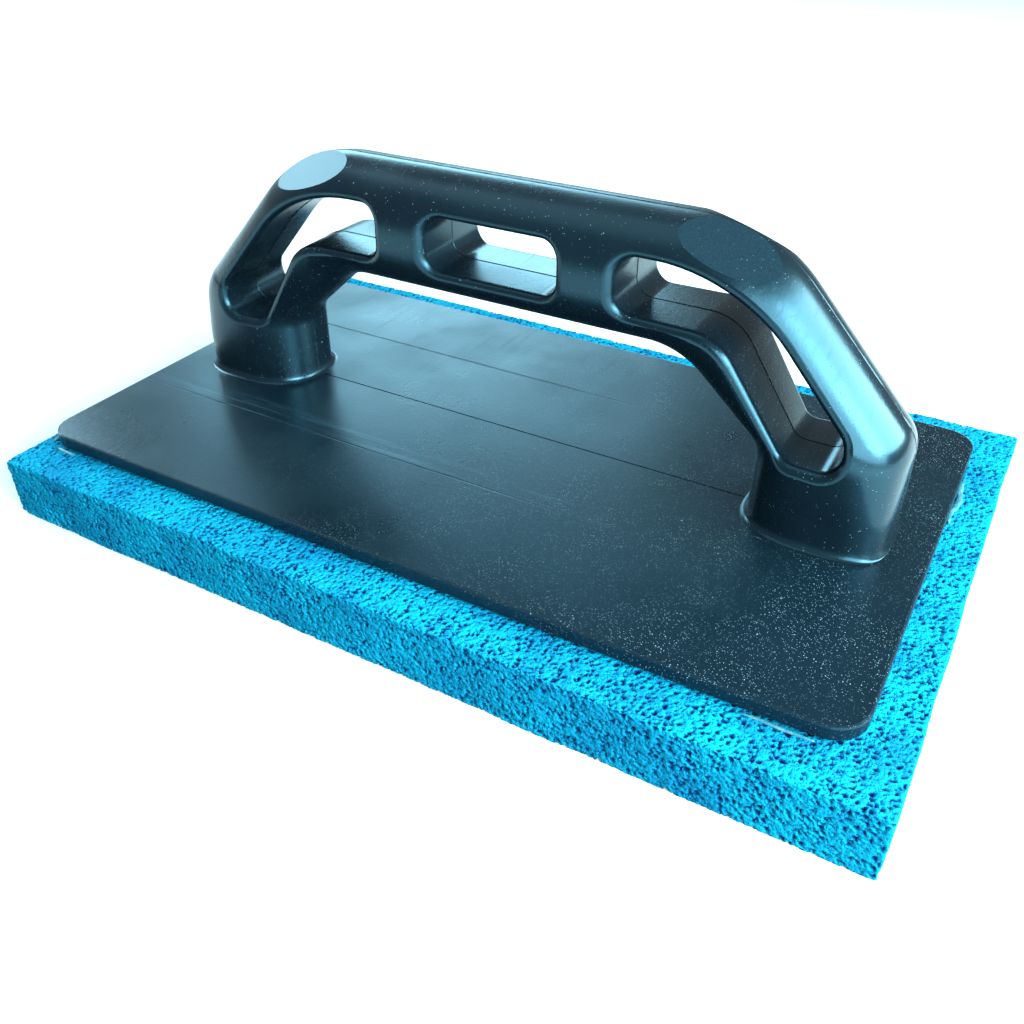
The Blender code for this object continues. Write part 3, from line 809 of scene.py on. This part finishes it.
# ---- glue ----
def glue_bead(name, start, end, width, height, seed, material):
    """A squeezed-out run of glue between two points on the sponge's top, lumpy and tapered."""
    length = (end - start).length
    along = (end - start).normalized()
    across = Vector((along.y, -along.x, 0))
    steps = max(BEAD_FEWEST_STEPS, round(length / BEAD_STEP))
    rings = []
    for step in range(steps + 1):
        share = step / steps
        taper = math.sin(math.pi * share) ** BEAD_TAPER + BEAD_TIP
        unevenness = abs(noise.noise(Vector((share * length * BEAD_LUMP_RATE, seed, 0))))
        lump = BEAD_LUMP_LEAST + BEAD_LUMP_SWING * unevenness
        drift = noise.noise(Vector((share * length * BEAD_DRIFT_RATE, 0, seed))) * width * BEAD_DRIFT
        ring = []
        for index in range(BEAD_POINTS):
            angle = 2 * math.pi * index / BEAD_POINTS
            sideways = math.cos(angle) * width / 2 * taper * lump + drift
            upward = math.sin(angle) * height / 2 * taper * lump
            ring.append(start + along * (share * length) + across * sideways + Vector((0, 0, upward)))
        rings.append(ring)
    mesh = mesh_from_bmesh(name, loft(rings))
    mesh.shade_smooth()
    bead = new_object(name, mesh, material)
    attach(bead, "root")


def build_glue(material):
    """Beads where glue came out beside the plate."""
    for name, corner, start, end, width, height, seed in GLUE_BEADS:
        first, last = (Vector((corner[0] + x, corner[1] + y, GLUE_LEVEL)) for x, y in (start, end))
        glue_bead(name, first, last, width, height, seed, material)


# ---- stage ----
def build_floor(material):
    bm = bmesh.new()
    bmesh.ops.create_grid(bm, x_segments=4, y_segments=4, size=FLOOR_HALF)
    floor = new_object("floor", mesh_from_bmesh("floor", bm), material)
    floor.visible_diffuse = False     # diffuse rays don't see it


def area_light(name, azimuth, elevation, distance, size, power, colour):
    """A soft panel that faces the float, azimuth from +Y towards +X, in degrees."""
    turn, rise = math.radians(azimuth), math.radians(elevation)
    back = Vector((math.sin(turn) * math.cos(rise), math.cos(turn) * math.cos(rise), math.sin(rise)))
    data = bpy.data.lights.new(name, 'AREA')
    data.shape = 'RECTANGLE'
    data.size, data.size_y = size
    data.energy = power
    data.color = colour
    lamp = bpy.data.objects.new(name, data)
    lamp.location = Vector((0, 0, PLATE_HIGH.z)) + back * distance
    lamp.rotation_mode = 'QUATERNION'
    lamp.rotation_quaternion = back.to_track_quat('Z', 'Y')
    bpy.context.scene.collection.objects.link(lamp)


def build_lights():
    for light in LIGHTS:
        area_light(*light)
    world = bpy.data.worlds.new("studio")
    world.use_nodes = True
    background = world.node_tree.nodes["Background"]
    background.inputs["Color"].default_value = WORLD
    background.inputs["Strength"].default_value = WORLD_STRENGTH
    bpy.context.scene.world = world
    bpy.context.scene.view_settings.view_transform = 'Standard'


def build_camera():
    data = bpy.data.cameras.new("camera")
    data.lens = CAMERA_LENS
    data.clip_start = CAMERA_CLIP
    camera = bpy.data.objects.new("camera", data)
    aim = Matrix.Rotation(CAMERA_TURN, 4, 'Z') @ Matrix.Rotation(math.pi / 2 - CAMERA_DIP, 4, 'X')
    camera.matrix_world = Matrix.Translation(CAMERA_PLACE) @ aim @ Matrix.Rotation(CAMERA_ROLL, 4, 'Z')
    bpy.context.scene.collection.objects.link(camera)
    bpy.context.scene.camera = camera


RING_ANGLES = ring_angles()
build_camera()
build_lights()
build_floor(floor_paper())
build_handle(handle_plastic())
build_sponge(sponge_rubber())
glue = dried_glue()
build_glue(glue)
for node, finish in (("base_plate", plate_plastic()), ("adhesive_film", glue),
                     ("handle_screw_left", zinc_steel()), ("handle_screw_right", zinc_steel())):
    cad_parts[node].data.materials.clear()
    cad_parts[node].data.materials.append(finish)
